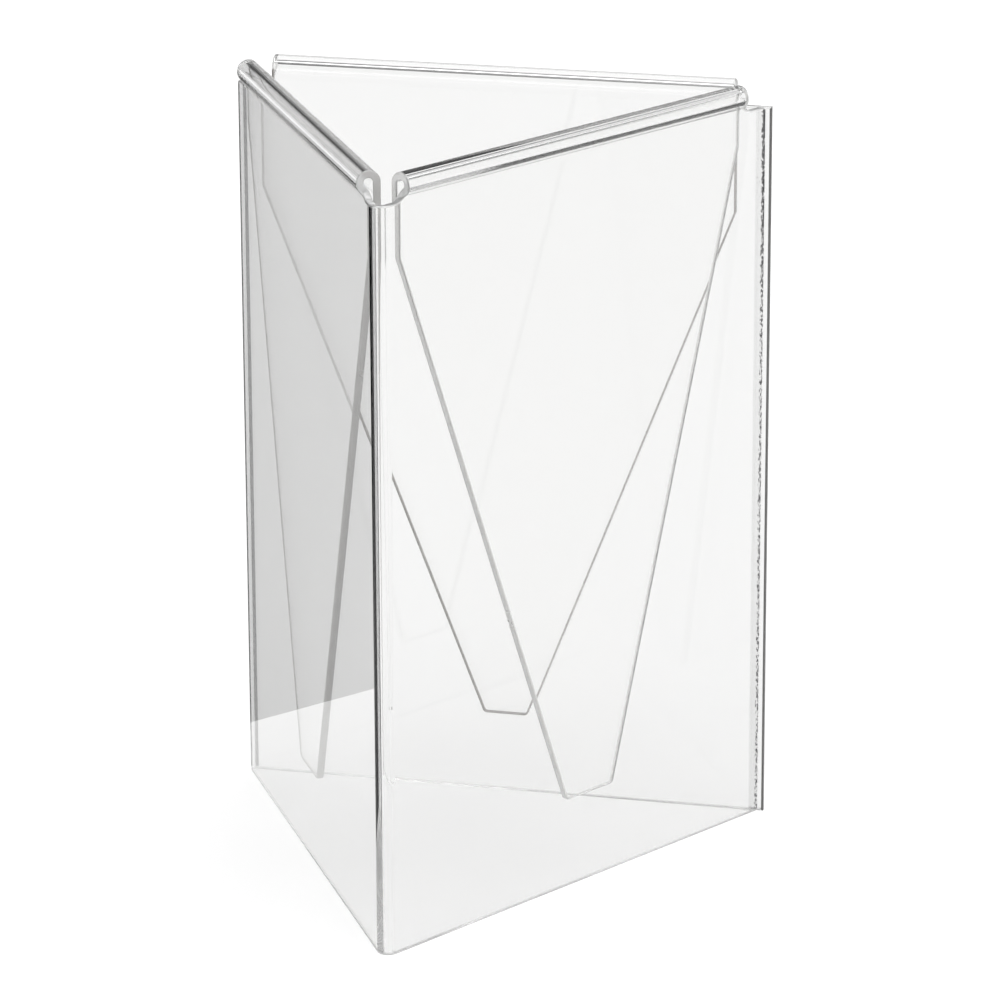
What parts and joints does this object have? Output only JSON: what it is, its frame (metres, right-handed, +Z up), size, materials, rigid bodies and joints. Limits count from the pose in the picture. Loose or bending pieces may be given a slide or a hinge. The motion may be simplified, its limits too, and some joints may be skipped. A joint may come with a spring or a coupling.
{
  "type": "three-sided card holder",
  "caption": "Clear three-sided table-top card and menu holder, a bent sheet tube with rolled top edges and long tapered tongues that hold a card against each wall.",
  "frame": {"origin": "on the table, under the middle of the holder's bounding box", "axes": "+Z up along the tube, the bent front corner points to -Y, the back wall faces +Y and the cemented corner is at +X"},
  "size_m": [0.1314, 0.114, 0.185],
  "materials": {
    "clear_acrylic": "polished transparent",
    "cement": "clear cured solvent cement with fine bubbles"
  },
  "bodies": {
    "shell": {"left_wall": "clear_acrylic", "right_wall": "clear_acrylic", "back_wall": "clear_acrylic", "front_bend": "clear_acrylic", "left_bend": "clear_acrylic", "seam_cement": "cement", "left_roll": "clear_acrylic", "right_roll": "clear_acrylic", "back_roll": "clear_acrylic"},
    "left_tongue": {"left_tongue": "clear_acrylic"},
    "right_tongue": {"right_tongue": "clear_acrylic"},
    "back_tongue": {"back_tongue": "clear_acrylic"}
  },
  "joints": [
    {"name": "left_tongue_flex", "type": "hinge", "parent": "shell", "child": "left_tongue", "pos_m": [-0.03232, -0.00047, 0.18185], "axis": [0.5, -0.866, 0], "range_deg": [0, 3], "stiffness_Nm_per_rad": 2.8},
    {"name": "right_tongue_flex", "type": "hinge", "parent": "shell", "child": "right_tongue", "pos_m": [0.02847, -0.00047, 0.18185], "axis": [0.5, 0.866, 0], "range_deg": [0, 3], "stiffness_Nm_per_rad": 2.8},
    {"name": "back_tongue_flex", "type": "hinge", "parent": "shell", "child": "back_tongue", "pos_m": [-0.00193, 0.05217, 0.18185], "axis": [-1, 0, 0], "range_deg": [0, 3], "stiffness_Nm_per_rad": 2.8}
  ]
}
